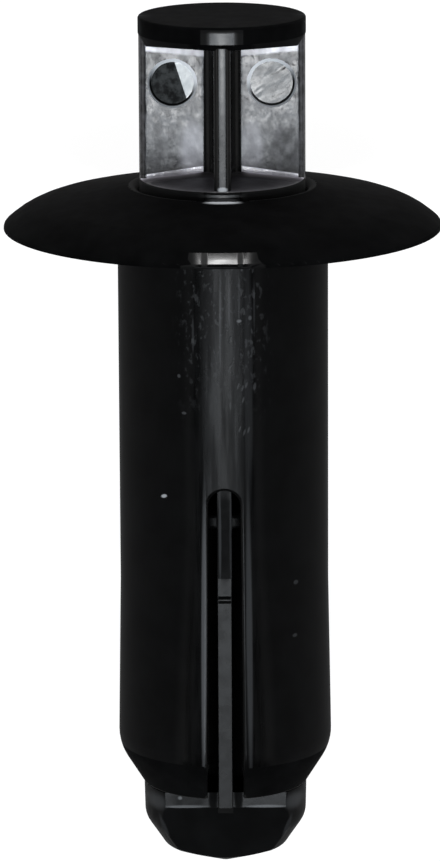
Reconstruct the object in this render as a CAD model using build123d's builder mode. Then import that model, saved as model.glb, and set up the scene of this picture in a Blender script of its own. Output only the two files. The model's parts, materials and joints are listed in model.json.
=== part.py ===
from build123d import *

import os
from math import asin, atan2, cos, degrees, hypot, radians, sin, sqrt, tan

# Two-piece plastic push rivet. A flanged grommet with two legs goes through a panel hole, and a drive pin
# is pushed down its bore to lock the legs. The rivet is shown before driving, with the pin pulled out.
#
# Both pieces are drawn upright: the origin is on the barrel's axis at the underside of the flange, +Z
# runs towards the pin's cap, and the slots between the legs open to -Y and +Y. At the end the rivet is
# laid down the way it comes to rest, on the rim of its flange and on the two edges of its rear slot.

# ---- driving dimensions, in millimetres and degrees ----

# Flange
flange_diameter = 20.0
crown_height = 2.0
knee_height = 1.015  # height at which the crown starts to roll over into the rim
roll_width = 1.06  # band in which it rolls over
roll_radius = 4.0
rim_height = 0.14
rim_radius = 0.22
mouth_radius = 0.4

# Barrel and bore
barrel_diameter = 9.62
wall_thickness = 0.94

# Legs
grommet_length = 26.2  # underside of the flange to the ends of the legs
swell_start = 9.7  # height above the leg ends at which the legs begin to swell
swell = 0.14  # how far the shoulder stands out from the barrel
shoulder_height = 1.8
shoulder_radius = 2.2
leg_end_step = 0.035  # leg ends stand proud of the nose that follows them
leg_end_wall = 1.23
leg_end_radius = 0.1
throat_height = 1.3
funnel_length = 3.1
funnel_radius = 0.4

# Slots between the legs
slot_length = 14.87
slot_top_width = 1.43
slot_flare = 0.43  # lean of each side of a slot, which widens towards the leg ends
slot_edge_radius = 0.14

# Fit and travel of the pin
running_clearance = 0.085
neck_clearance = 0.1
nose_play = 0.05
drive_travel = 7.7

# Cap of the pin
cap_clearance = 0.055
cap_rim_height = 0.77
cap_edge_radius = 0.1
cap_chamfer_angle = 58.3  # of the chamfer under the rim, from level
ceiling_depth = 0.92  # from the rim down to the middle of the pockets' ceilings
ceiling_side_draft = 4.4  # each ceiling rises towards the outside of its side rib
ceiling_face_draft = 9.5  # and towards the front or the rear

# Ribs of the pin
grip_rib_thickness = 0.78
grip_side_edge = 0.37
grip_face_edge = 0.26
grip_face_setback = 0.09  # how far the front and rear grip ribs lie behind the collar and the cap
grip_root_radius = 0.55
drive_rib_thickness = 0.7
drive_rib_edge = 0.06
drive_root_radius = 0.5
face_rib_setback = 0.34  # how far the ribs in the slots lie below the guiding ribs
face_rib_fall = 2.4  # length over which they fall back to that from the lower web
wedge_land = 0.72  # guiding length between the lower web and the wedge

# Webs of the pin
collar_rise = 0.25  # how far the upper web stands out of the mouth
collar_thickness = 1.4
collar_cone_angle = 6.2  # fall of the pockets' floor towards the rim of the collar
lower_web_thickness = 0.64
web_edge = 0.15
lower_web_setback = 0.12

# Detent nibs on the ribs in the slots
nib_drop = 3.4  # below the lower web
nib_length = 0.36
nib_height = 0.08

# Nose
nose_draft = 0.035
nose_land = 1.65
nose_taper = 1.37
nose_end_diameter = 5.66
nose_end_angle = 20.0
nose_shoulder_radius = 1.1
nose_end_edge = 0.4
flat_distance = 2.5  # upright stretch of the front and rear flats, from the axis
flat_height = 0.73
flat_lean = 15.6
flat_edge_radius = 0.12
rib_foot_overhang = 0.82  # how far the ribs in the slots run down over the nose
rib_foot_chamfer = 0.35
gate_diameter = 0.5

# Ejector marks on the front faces of the side ribs
ejector_radius = 1.13
ejector_depth = 0.17
ejector_side_angle = 45.0
ejector_reach = 2.25  # centre of a mark, from the axis
ejector_below_cap = 3.06

# ---- sizes that follow ----

flange_radius = flange_diameter / 2
barrel_radius = barrel_diameter / 2
bore_radius = barrel_radius - wall_thickness
pin_radius = bore_radius - running_clearance
nose_radius = pin_radius
swell_radius = barrel_radius + swell
leg_end_outer = nose_radius + leg_end_step
throat_radius = leg_end_outer - leg_end_wall
neck_radius = throat_radius - neck_clearance
face_rib_radius = pin_radius - face_rib_setback
grip_face_radius = pin_radius - grip_face_setback
cap_radius = bore_radius - cap_clearance

leg_end = -grommet_length
swell_top = leg_end + swell_start
shoulder = leg_end + shoulder_height
throat_top = leg_end + throat_height
funnel_top = throat_top + funnel_length
slot_top = leg_end + slot_length

knee_radius = flange_radius - roll_width

cap_top = crown_height + drive_travel
cap_rim = cap_top - cap_rim_height
cap_low = cap_rim - ceiling_depth - web_edge
cap_low_radius = cap_radius - (cap_rim - cap_low) / tan(radians(cap_chamfer_angle))
collar_top = crown_height + collar_rise
collar_base = collar_top - collar_thickness
collar_peak = collar_top + pin_radius * tan(radians(collar_cone_angle))
wedge_top = funnel_top + drive_travel
wedge_end = throat_top + drive_travel
lower_web_base = wedge_top + wedge_land
lower_web_top = lower_web_base + lower_web_thickness
lower_web_radius = pin_radius - lower_web_setback
nib_centre = lower_web_base - nib_drop
face_rib_level = lower_web_base - face_rib_fall

nose_top = leg_end - nose_play
nose_land_end = nose_top - nose_land
nose_taper_end = nose_land_end - nose_taper
nose_end_radius = nose_end_diameter / 2
nose_end_fall = tan(radians(nose_end_angle))
nose_tip = nose_taper_end - (nose_end_radius - gate_diameter / 2) * nose_end_fall
flat_bottom = nose_top - flat_height
flat_tip_distance = flat_distance - (flat_bottom - nose_tip) * tan(radians(flat_lean))
rib_foot = nose_top - rib_foot_overhang

ejector_height = cap_top - ejector_below_cap

# ---- grommet: flange, barrel and two legs in one moulding ----

arch_radius = slot_top_width / 2
arch_side = arch_radius * cos(radians(slot_flare))
arch_end = slot_top - arch_radius + arch_radius * sin(radians(slot_flare))


def slot_half_width(height):
    """Return half the width of a slot at a height below its arch."""
    return arch_side + (arch_end - height) * tan(radians(slot_flare))


grommet_outline = {
    (bore_radius, crown_height): mouth_radius,
    (knee_radius, knee_height): roll_radius,
    (flange_radius, rim_height): rim_radius,
    (flange_radius, 0): 0,
    (barrel_radius, 0): 0,
    (barrel_radius, swell_top): 0,
    (swell_radius, shoulder): shoulder_radius,
    (leg_end_outer, leg_end): 0,
    (throat_radius, leg_end): 0,
    (throat_radius, throat_top): funnel_radius,
    (bore_radius, funnel_top): funnel_radius,
}

with BuildPart() as grommet:
    with BuildSketch(Plane.XZ):
        with BuildLine():
            FilletPolyline(*grommet_outline.keys(), radius=grommet_outline.values(), close=True)
        make_face()
    revolve(axis=Axis.Z)

    # One cut through both walls opens the front and the rear slot and parts the legs. Its sides run on
    # from the ends of the round arch, and past the leg ends.
    with BuildSketch(Plane.XZ):
        with BuildLine():
            sides = Polyline(
                (-arch_side, arch_end),
                (-slot_half_width(leg_end - leg_end_wall), leg_end - leg_end_wall),
                (slot_half_width(leg_end - leg_end_wall), leg_end - leg_end_wall),
                (arch_side, arch_end),
            )
            ThreePointArc(sides @ 1, (0, slot_top), sides @ 0)
        make_face()
    extrude(amount=flange_radius, both=True, mode=Mode.SUBTRACT)
    slot_edges = grommet.edges(Select.LAST).filter_by(
        lambda edge: hypot(edge.center().X, edge.center().Y) > barrel_radius - running_clearance
        and abs(edge.center().X) < slot_top_width
    )
    fillet(slot_edges, slot_edge_radius)
    end_edges = grommet.edges().filter_by_position(Axis.Z, leg_end, leg_end).filter_by(GeomType.CIRCLE)
    fillet(end_edges, leg_end_radius)


# ---- drive pin: cap, ribbed shank, webs and nose in one moulding ----


def rib_cross(side_reach, face_reach, thickness, root_radius, side_edge, face_edge):
    """Draw the section of the four ribs in the open sketch: side ribs along X, face ribs along Y."""
    Rectangle(2 * side_reach, thickness)
    Rectangle(thickness, 2 * face_reach)
    fillet(vertices().sort_by_distance((0, 0))[:4], root_radius)
    fillet(vertices().sort_by(Axis.X)[:2] + vertices().sort_by(Axis.X)[-2:], side_edge)
    fillet(vertices().sort_by(Axis.Y)[:2] + vertices().sort_by(Axis.Y)[-2:], face_edge)


def drive_cross(side_reach, face_reach):
    """Draw the section of the ribs below the collar."""
    rib_cross(side_reach, face_reach, drive_rib_thickness, drive_root_radius, drive_rib_edge, drive_rib_edge)


# Cap, whose underside closes the four pockets between the ribs: each has a flat ceiling with draft
with BuildPart() as cap:
    with BuildSketch(Plane.XZ):
        with BuildLine():
            FilletPolyline(
                (0, cap_low),
                (cap_low_radius, cap_low),
                (cap_radius, cap_rim),
                (cap_radius, cap_top),
                (0, cap_top),
                radius=(0, 0, cap_edge_radius),
            )
            Line((0, cap_top), (0, cap_low))
        make_face()
    revolve(axis=Axis.Z)
    for side in (-1, 1):
        for face in (-1, 1):
            upward = (-side * tan(radians(ceiling_side_draft)), -face * tan(radians(ceiling_face_draft)), 1)
            split(bisect_by=Plane((0, 0, cap_rim - ceiling_depth), z_dir=upward), keep=Keep.TOP)

with BuildPart() as drive_pin:
    # Bullet nose
    with BuildSketch(Plane.XZ):
        with BuildLine():
            tapered_side = FilletPolyline(
                (nose_radius, nose_top),
                (nose_radius - nose_draft, nose_land_end),
                (nose_end_radius, nose_taper_end),
                (gate_diameter / 2, nose_tip),
                radius=(nose_shoulder_radius, nose_end_edge),
            )
            Polyline(tapered_side @ 1, (0, nose_tip), (0, nose_top), tapered_side @ 0)
        make_face()
    revolve(axis=Axis.Z)

    # Flats on the front and the rear of the nose, upright at first and then leaning inwards
    with BuildSketch(Plane.YZ):
        with BuildLine():
            Polyline(
                (flat_distance, nose_top),
                (flat_distance, flat_bottom),
                (flat_tip_distance, nose_tip),
                (nose_radius + nose_play, nose_tip),
                (nose_radius + nose_play, nose_top),
                close=True,
            )
        make_face()
        mirror(about=Plane.YZ)
    extrude(amount=nose_radius, both=True, mode=Mode.SUBTRACT)
    flat_edges = drive_pin.edges(Select.LAST).filter_by(lambda edge: edge.center().Z < nose_top - nose_play)
    fillet(flat_edges, flat_edge_radius)

    # Ribs from the nose up to the lower web: a slim neck, then the wedge that locks the legs
    with BuildSketch(Plane.XY.offset(rib_foot)):
        drive_cross(neck_radius, face_rib_radius)
    extrude(amount=wedge_end - rib_foot)
    with BuildSketch(Plane.YZ):
        with BuildLine():
            Polyline(
                (face_rib_radius - rib_foot_chamfer, rib_foot),
                (face_rib_radius, rib_foot + rib_foot_chamfer),
                (face_rib_radius, rib_foot),
                close=True,
            )
        make_face()
        mirror(about=Plane.YZ)
    extrude(amount=drive_rib_thickness, both=True, mode=Mode.SUBTRACT)
    with BuildSketch(Plane.XY.offset(wedge_end)):
        drive_cross(neck_radius, face_rib_radius)
    with BuildSketch(Plane.XY.offset(wedge_top)):
        drive_cross(pin_radius, face_rib_radius)
    loft(ruled=True)
    with BuildSketch(Plane.XY.offset(wedge_top)):
        drive_cross(pin_radius, face_rib_radius)
    extrude(amount=wedge_land)

    # The ribs in the slots fall back below the lower web
    with BuildSketch(Plane.YZ):
        with BuildLine():
            Polyline(
                (face_rib_radius - drive_rib_edge, face_rib_level),
                (face_rib_radius, face_rib_level),
                (pin_radius, lower_web_base),
                (pin_radius, lower_web_base + web_edge),
                (face_rib_radius - drive_rib_edge, lower_web_base + web_edge),
                close=True,
            )
        make_face()
        mirror(about=Plane.YZ)
    extrude(amount=drive_rib_thickness / 2 - drive_rib_edge, both=True)

    # Detent nibs on the face ribs
    with BuildSketch(Plane.YZ):
        with BuildLine():
            nib_chord = Line(
                (face_rib_radius, nib_centre - nib_length / 2),
                (face_rib_radius, nib_centre + nib_length / 2),
            )
            ThreePointArc(nib_chord @ 0, (face_rib_radius + nib_height, nib_centre), nib_chord @ 1)
        make_face()
        mirror(about=Plane.YZ)
    extrude(amount=drive_rib_thickness / 2 - drive_rib_edge, both=True)

    # Lower web, and the guiding ribs between it and the collar
    with BuildSketch(Plane.XZ):
        with BuildLine():
            FilletPolyline(
                (0, lower_web_base),
                (lower_web_radius, lower_web_base),
                (lower_web_radius, lower_web_top),
                (0, lower_web_top),
                radius=web_edge,
            )
            Line((0, lower_web_top), (0, lower_web_base))
        make_face()
    revolve(axis=Axis.Z)
    with BuildSketch(Plane.XY.offset(lower_web_base)):
        drive_cross(pin_radius, pin_radius)
    extrude(amount=collar_base - lower_web_base)

    # Collar that fills the mouth of the bore
    with BuildSketch(Plane.XZ):
        with BuildLine():
            FilletPolyline(
                (0, collar_base),
                (pin_radius, collar_base),
                (pin_radius, collar_top),
                (0, collar_peak),
                radius=web_edge,
            )
            Line((0, collar_peak), (0, collar_base))
        make_face()
    revolve(axis=Axis.Z)

    # Ribs between the collar and the cap
    with BuildSketch(Plane.XY.offset(collar_base)):
        rib_cross(
            pin_radius, grip_face_radius, grip_rib_thickness, grip_root_radius, grip_side_edge, grip_face_edge
        )
    extrude(amount=cap_rim - collar_base)
    add(cap.part)

    # Ejector marks, one on the front face of each side rib
    with BuildSketch(Plane.XZ.offset(grip_rib_thickness / 2)):
        with Locations((-ejector_reach, ejector_height), (ejector_reach, ejector_height)):
            Circle(ejector_radius)
    extrude(amount=-ejector_depth, taper=ejector_side_angle, mode=Mode.SUBTRACT)


# ---- laid down on the rim of the flange and on the shoulders beside the rear slot ----

# The line of rest leaves the lower edge of the flange and touches the rounded shoulder. The shoulder's
# arc is taken beside the slot, where it lies a little nearer to the axis.
swell_angle = atan2(swell, swell_start - shoulder_height)
end_angle = atan2(swell_radius - leg_end_outer, shoulder_height)
arc_offset = shoulder_radius / cos((end_angle + swell_angle) / 2)
slot_half = slot_half_width(shoulder) + slot_edge_radius / 2
slot_drop = swell_radius - sqrt(swell_radius**2 - slot_half**2)
arc_radius = swell_radius - slot_drop - arc_offset * cos((end_angle - swell_angle) / 2)
arc_depth = -(shoulder + arc_offset * sin((end_angle - swell_angle) / 2))
rim_to_arc = hypot(flange_radius - arc_radius, arc_depth)
lean = degrees(atan2(flange_radius - arc_radius, arc_depth) - asin(shoulder_radius / rim_to_arc))
laid_down = Location((0, 0, 0), (lean - 90, 0, 0))
print(f"lean of the axis when laid down: {lean:.3f} degrees")

os.makedirs("parts", exist_ok=True)

grommet.part.label = "grommet"
grommet.part.locate(laid_down)
export_step(grommet.part, "parts/grommet.step")

drive_pin.part.label = "drive_pin"
drive_pin.part.locate(laid_down)
export_step(drive_pin.part, "parts/drive_pin.step")
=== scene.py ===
"""Looks of a two-piece plastic push rivet: finishes, marks and painted highlights of its surfaces, studio and
camera.
"""

import json
import logging
from collections.abc import Callable
from dataclasses import dataclass
from enum import Enum
from math import atan2, cos, degrees, hypot, pi, radians, sin, tan

import bpy
from mathutils import Matrix, Vector


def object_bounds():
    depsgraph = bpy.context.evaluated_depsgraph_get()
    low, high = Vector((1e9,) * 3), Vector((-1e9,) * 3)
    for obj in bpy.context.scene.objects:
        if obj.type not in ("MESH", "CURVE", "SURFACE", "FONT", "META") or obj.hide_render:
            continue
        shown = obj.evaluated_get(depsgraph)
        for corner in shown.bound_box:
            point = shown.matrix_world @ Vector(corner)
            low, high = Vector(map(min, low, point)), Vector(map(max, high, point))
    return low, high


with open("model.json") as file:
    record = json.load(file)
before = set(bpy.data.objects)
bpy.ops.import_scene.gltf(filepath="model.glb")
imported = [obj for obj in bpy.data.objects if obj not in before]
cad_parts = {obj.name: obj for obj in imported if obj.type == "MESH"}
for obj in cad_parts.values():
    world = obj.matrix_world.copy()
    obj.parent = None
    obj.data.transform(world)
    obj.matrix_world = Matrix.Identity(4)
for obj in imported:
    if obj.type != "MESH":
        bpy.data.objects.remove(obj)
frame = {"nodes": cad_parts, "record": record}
CAD_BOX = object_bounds()

MILLIMETRE = 0.001
LOG = logging.getLogger("push_rivet")

# Shares of the half sizes of a rub or painted highlight up to which it is full and at which it has gone.
RUB_OR_HIGHLIGHT_FULL, RUB_OR_HIGHLIGHT_GONE = 0.55, 1.15
# Shares of a burnished strip's half width up to which it is full and at which it has gone.
STRIP_FULL, STRIP_GONE = 0.8, 1.25
# Roughness of the smoothest and of the roughest finish.
SMOOTHEST, ROUGHEST = 0.08, 1.0
# Part of a facet's normal along an axis from which it faces that way squarely, mostly or slightly.
SQUARELY, MOSTLY, SLIGHTLY = 0.9, 0.8, 0.3
# Slack of the tests on facets, in millimetres.
SLACK = 0.005

Socket = bpy.types.NodeSocket
Term = Socket | float
Trio = tuple[float, float, float]


class Node(Enum):
    """The two mouldings, by the names of their nodes."""

    GROMMET = "grommet"
    DRIVE_PIN = "drive_pin"


class Sum(Enum):
    """The sums that a pattern is worked out with."""

    ADD = "ADD"
    SUBTRACT = "SUBTRACT"
    MULTIPLY = "MULTIPLY"
    MULTIPLY_ADD = "MULTIPLY_ADD"
    SMALLER = "MINIMUM"
    LARGER = "MAXIMUM"
    SIZE = "ABSOLUTE"
    ROOT = "SQRT"


@dataclass(frozen=True)
class RivetAxes:
    """The rivet's own upright axes: Z runs up the barrel towards the cap, and -Y faces the front slot.

    Args:
        up: Direction of the barrel's axis in the world, towards the cap.
    """

    up: Vector

    @classmethod
    def from_record(cls, record: dict) -> "RivetAxes":
        """Return the axes of the rivet as it lies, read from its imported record."""
        barrel = next(mount for mount in record["mounts"] if mount["name"] == "barrel")
        return cls(-Vector(barrel["axis"]).normalized())

    @property
    def rotation(self) -> Matrix:
        """Rotation from the upright axes to the world.

        Returns:
            The rotation, whose first column is the world's own X.
        """
        across = Vector((1.0, 0.0, 0.0))
        back = self.up.cross(across)
        return Matrix((across, back, self.up)).transposed()

    def point(self, x: float, y: float, z: float) -> Vector:
        """Return a point in the world from millimetres along the upright axes."""
        return self.rotation @ Vector((x, y, z)) * MILLIMETRE

    def millimetres(self, point: Vector) -> Vector:
        """Return a point of the world in millimetres along the upright axes."""
        return self.rotation.transposed() @ point / MILLIMETRE

    def upright(self, direction: Vector) -> Vector:
        """Return a direction of the world along the upright axes."""
        return self.rotation.transposed() @ direction

    def towards(self, elevation: float, bearing: float) -> Vector:
        """Return the world's direction at an elevation and a bearing from the front, both in degrees."""
        rise, turn = radians(elevation), radians(bearing)
        return self.rotation @ Vector((sin(turn), -cos(turn) * cos(rise), cos(turn) * sin(rise)))


class Bench:
    """A bench on which the nodes of one material are laid out and joined."""

    def __init__(self, name: str, axes: RivetAxes) -> None:
        """Start an empty material.

        Args:
            name: Name of the material.
            axes: The rivet's upright axes, which the patterns follow.
        """
        self.material = bpy.data.materials.new(name)
        self.material.use_nodes = True
        self.tree = self.material.node_tree
        self.tree.nodes.clear()
        self.output = self.tree.nodes.new("ShaderNodeOutputMaterial")
        self.axes = axes
        self._place: Socket | None = None
        self._parts: tuple[Socket, Socket, Socket] | None = None

    def node(self, kind: str, **inputs: object) -> bpy.types.Node:
        """Add a node and set or join its inputs.

        Args:
            kind: Blender's name of the node's type.
            **inputs: Input names, with underscores for spaces, to values or output sockets.

        Returns:
            The new node.
        """
        made = self.tree.nodes.new(kind)
        for label, value in inputs.items():
            self.feed(made.inputs[label.replace("_", " ")], value)
        return made

    def feed(self, socket: Socket, value: object) -> None:
        """Join a socket to an output, or give it a plain value.

        Args:
            socket: The input.
            value: The output or the plain value.
        """
        if isinstance(value, Socket):
            self.tree.links.new(value, socket)
        else:
            socket.default_value = value

    def sum(self, operation: Sum, *terms: Term) -> Socket:
        """Work out one sum.

        Args:
            operation: The kind of sum.
            *terms: Its terms, in order.

        Returns:
            The result.
        """
        made = self.tree.nodes.new("ShaderNodeMath")
        made.operation = operation.value
        for socket, term in zip(made.inputs, terms):
            self.feed(socket, term)
        return made.outputs[0]

    def most(self, *masks: Socket) -> Socket:
        """Join masks where any of them is full.

        Args:
            *masks: Masks from 0 to 1.

        Returns:
            The highest of them at each place.
        """
        top = masks[0]
        for mask in masks[1:]:
            top = self.sum(Sum.LARGER, top, mask)
        return top

    def both(self, *masks: Term) -> Socket:
        """Join masks where all of them are full.

        Args:
            *masks: Masks from 0 to 1, or factors.

        Returns:
            Their product.
        """
        product = masks[0]
        for mask in masks[1:]:
            product = self.sum(Sum.MULTIPLY, product, mask)
        return product

    def ramp(self, value: Term, low: float, high: float, start: float = 0.0, end: float = 1.0) -> Socket:
        """Turn a value into a smooth step.

        Args:
            value: The value that is read.
            low: Where the step begins.
            high: Where it ends.
            start: Result below the step.
            end: Result above it.

        Returns:
            The step.
        """
        ends = {"From_Min": low, "From_Max": high, "To_Min": start, "To_Max": end}
        made = self.node("ShaderNodeMapRange", Value=value, **ends)
        made.interpolation_type = "SMOOTHSTEP"
        return made.outputs["Result"]

    def within(self, value: Term, low: float, high: float, edge: float) -> Socket:
        """Return 1 between low and high and 0 outside, with soft edges."""
        return self.both(self.ramp(value, low - edge, low), self.ramp(value, high, high + edge, 1.0, 0.0))

    @property
    def place(self) -> Socket:
        """Place of a surface point.

        Returns:
            The place in millimetres along the upright axes.
        """
        if self._place is None:
            world = self.tree.nodes.new("ShaderNodeTexCoord").outputs["Object"]
            turn = self.axes.rotation.transposed().to_euler()
            scale = (1 / MILLIMETRE,) * 3
            self._place = self.node("ShaderNodeMapping", Vector=world, Rotation=turn, Scale=scale).outputs[0]
        return self._place

    @property
    def parts(self) -> tuple[Socket, Socket, Socket]:
        """The three parts of the place.

        Returns:
            The parts across, back and up.
        """
        if self._parts is None:
            split = self.node("ShaderNodeSeparateXYZ", Vector=self.place)
            self._parts = tuple(split.outputs)
        return self._parts

    def framed(self, middle: Trio, reach: Trio, lean: float) -> Socket:
        """Return the place from a middle, along leaning axes and in units of a reach.

        Args:
            middle: The new origin, in millimetres along the upright axes.
            reach: How many millimetres count as 1 along each axis.
            lean: How far the new upright leans to the right, in degrees.

        Returns:
            The place in the new frame.
        """
        made = self.tree.nodes.new("ShaderNodeMapping")
        made.vector_type = "TEXTURE"
        turn = (0.0, radians(lean), 0.0)
        inputs = {"Vector": self.place, "Location": middle, "Rotation": turn, "Scale": reach}
        for label, value in inputs.items():
            self.feed(made.inputs[label], value)
        return made.outputs[0]

    def noise(self, place: Socket, scale: float, detail: float = 2.0, rough: float = 0.5) -> Socket:
        """Return a noise of about 0 to 1 whose grains are 1 / scale millimetres across."""
        made = self.node("ShaderNodeTexNoise", Vector=place, Scale=scale, Detail=detail, Roughness=rough)
        return made.outputs["Fac"]

    def bump(self, height: Socket, depth: float, below: Socket | None = None) -> Socket:
        """Raise a surface.

        Args:
            height: Height, in units of the depth.
            depth: How many millimetres a height of 1 is.
            below: Normal of the surface that is raised, if it has its own.

        Returns:
            The new normal.
        """
        made = self.node("ShaderNodeBump", Height=height, Distance=depth * MILLIMETRE, Strength=1.0)
        if below is not None:
            self.feed(made.inputs["Normal"], below)
        return made.outputs["Normal"]

    def grey(self, shade: Term, tint: Trio) -> Socket:
        """Return a colour of one shade under a tint."""
        red, green, blue = (self.sum(Sum.MULTIPLY, shade, part) for part in tint)
        return self.node("ShaderNodeCombineColor", Red=red, Green=green, Blue=blue).outputs[0]

    def finish(self, surface: bpy.types.Node) -> bpy.types.Material:
        """Join a shader to the output and return the material."""
        self.feed(self.output.inputs["Surface"], surface.outputs[0])
        return self.material


@dataclass(frozen=True)
class Skin:
    """What a pattern gives to the shader of a moulded surface.

    Args:
        colour: Colour of the plastic, with any highlights painted on it.
        roughness: Roughness of the surface.
        normal: Its normal, with the grain of the mould.
    """

    colour: Socket
    roughness: Socket
    normal: Socket


@dataclass(frozen=True)
class RubOrHighlight:
    """A small rub, scratch, dull patch or speck on the rivet, or a painted highlight, by default on its
    front.

    Args:
        x: Place of its middle across, in millimetres along the upright axes.
        z: Place of its middle up the rivet.
        half_x: Half of its width.
        half_z: Half of its length.
        shade: How much lighter the plastic is in it; where it is a highlight, this is painted light.
        dull: How much rougher it is, or smoother where this is negative.
        lean: How far its top leans to the right, in degrees.
        y: Place of its middle from front to back.
        half_y: Half of its extent from front to back.
    """

    x: float
    z: float
    half_x: float
    half_z: float
    shade: float = 0.0
    dull: float = 0.0
    lean: float = 0.0
    y: float = -4.0
    half_y: float = 4.0

    def mask(self, bench: Bench) -> Socket:
        """Lay out the outline of the rub or painted highlight.

        Args:
            bench: The bench to lay it out on.

        Returns:
            1 in its middle and 0 outside it.
        """
        reach = (self.half_x, self.half_y, self.half_z)
        length = bench.tree.nodes.new("ShaderNodeVectorMath")
        length.operation = "LENGTH"
        bench.feed(length.inputs[0], bench.framed((self.x, self.y, self.z), reach, self.lean))
        return bench.ramp(length.outputs["Value"], RUB_OR_HIGHLIGHT_FULL, RUB_OR_HIGHLIGHT_GONE, 1.0, 0.0)


def parting_lines_and_sheen(reach: float, middle: float, half_length: float) -> tuple[RubOrHighlight, ...]:
    """Lay the mould's two parting lines along the sides of a round moulding, each in a band of painted sheen.

    Args:
        reach: Distance of the lines from the rivet's axis, in millimetres.
        middle: Height of their middles.
        half_length: Half of their length.

    Returns:
        A thin pale parting line and, round it, a wider band of painted sheen, on either side.
    """
    half_line, half_sheen = 0.09, 1.3
    lines = []
    for x in (-reach, reach):
        lines.append(RubOrHighlight(x, middle, 0.5, half_length, shade=0.05, y=0.0, half_y=half_line))
        # The wide faint band is painted sheen.
        lines.append(RubOrHighlight(x, middle, 0.9, half_length, shade=0.009, y=0.0, half_y=half_sheen))
    return tuple(lines)


@dataclass(frozen=True)
class Clouds:
    """Soft clouds, which moulding and handling leave on a surface.

    Args:
        scale: Clouds to a millimetre.
        low: Noise at which the clouds begin.
        high: Noise at which they are full.
        detail: How many finer noises are laid over the first.
        rough: How strong these are.
        stretch: Clouds to a millimetre across, back and up, on top of the scale.
        shift: Where the pattern is cut out.
    """

    scale: float = 1.0
    low: float = 0.3
    high: float = 0.7
    detail: float = 3.0
    rough: float = 0.5
    stretch: Trio | None = None
    shift: float = 0.0

    def noise(self, bench: Bench) -> Socket:
        """Lay out the bare noise of the clouds.

        Args:
            bench: The bench to lay it out on.

        Returns:
            A noise of about 0 to 1.
        """
        place = bench.place
        if self.stretch is not None:
            cut = (self.shift,) * 3
            place = bench.node("ShaderNodeMapping", Vector=place, Scale=self.stretch, Location=cut).outputs[0]
        return bench.noise(place, self.scale, self.detail, self.rough)

    def over(self, bench: Bench, clear: float = 0.0, full: float = 1.0) -> Socket:
        """Return one value between the clouds and another in them, with soft edges."""
        return bench.ramp(self.noise(bench), self.low, self.high, clear, full)


@dataclass(frozen=True)
class BlackPlastic:
    """Black moulded plastic. Each surface of the mould leaves its own gloss.

    Args:
        name: Name of the material.
        shade: How light the plastic is, as a linear grey.
        gloss: Specular level of the surface.
        roughness: Mean roughness.
        cloud: How far the roughness wanders in its clouds.
        grain: Depth of the fine grain in millimetres.
        grain_scale: Grains to a millimetre.
        burnish: Half of the width of the burnished strip down the front and rear.
        matte: Roughness of the sides, beside that strip.
        rubs_and_highlights: Marks on the surface, and highlights painted on it.
        tint: Tint of the plastic.
        tone: Clouds of the shade.
        darkest: Share of the shade that is left between those clouds.
        lightest: Share of the shade in them.
        dulling: Clouds of the roughness.
    """

    name: str
    shade: float = 0.0018
    gloss: float = 0.05
    roughness: float = 0.36
    cloud: float = 0.05
    grain: float = 0.001
    grain_scale: float = 9.0
    burnish: float = 100.0
    matte: float = 0.9
    rubs_and_highlights: tuple[RubOrHighlight, ...] = ()
    tint: Trio = (0.96, 1.0, 1.05)
    tone: Clouds = Clouds(0.7)
    darkest: float = 0.7
    lightest: float = 1.4
    dulling: Clouds = Clouds(1.9)

    def lightness(self, bench: Bench) -> Socket:
        """Return how light the plastic is, with its clouds."""
        return self.tone.over(bench, self.shade * self.darkest, self.shade * self.lightest)

    def aside(self, bench: Bench) -> Socket:
        """Return the distance from the middle of the burnished strip."""
        return bench.sum(Sum.SIZE, bench.parts[0])

    def roughening(self, bench: Bench) -> Socket:
        """Lay out the roughness, which rises from the burnished strips towards the matte sides.

        Args:
            bench: The bench to lay it out on.

        Returns:
            The roughness.
        """
        clouds = self.dulling.over(bench, self.roughness - self.cloud, self.roughness + self.cloud)
        sides = bench.ramp(self.aside(bench), self.burnish * STRIP_FULL, self.burnish * STRIP_GONE)
        return bench.sum(Sum.MULTIPLY_ADD, bench.sum(Sum.SUBTRACT, self.matte, clouds), sides, clouds)

    def relief(self, bench: Bench) -> Socket:
        """Return the normal, with the fine grain of the mould."""
        return bench.bump(bench.noise(bench.place, self.grain_scale), self.grain)

    def skin(self, bench: Bench) -> Skin:
        """Lay out the pattern of the surface, its marks and its painted highlights.

        Args:
            bench: The bench to lay it out on.

        Returns:
            The colour, roughness and normal of the surface.
        """
        shade, roughness = self.lightness(bench), self.roughening(bench)
        for rub_or_highlight in self.rubs_and_highlights:
            mask = rub_or_highlight.mask(bench)
            shade = bench.sum(Sum.MULTIPLY_ADD, mask, rub_or_highlight.shade, shade)
            roughness = bench.sum(Sum.MULTIPLY_ADD, mask, rub_or_highlight.dull, roughness)
        roughness = bench.sum(Sum.SMALLER, bench.sum(Sum.LARGER, roughness, SMOOTHEST), ROUGHEST)
        return Skin(bench.grey(shade, self.tint), roughness, self.relief(bench))

    def material(self, axes: RivetAxes) -> bpy.types.Material:
        """Build the material.

        Args:
            axes: The rivet's upright axes.

        Returns:
            The finished material.
        """
        bench = Bench(self.name, axes)
        skin = self.skin(bench)
        surface = bench.node(
            "ShaderNodeBsdfPrincipled", Base_Color=skin.colour, Roughness=skin.roughness, Normal=skin.normal
        )
        surface.inputs["Specular IOR Level"].default_value = self.gloss
        return bench.finish(surface)


@dataclass(frozen=True)
class EtchedTop(BlackPlastic):
    """Finely etched top of the flange or of the cap, which stays black even at a grazing angle."""

    shade: float = 0.0016
    gloss: float = 0.02
    roughness: float = 0.93
    cloud: float = 0.04
    grain: float = 0.002
    grain_scale: float = 12.0


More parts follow.
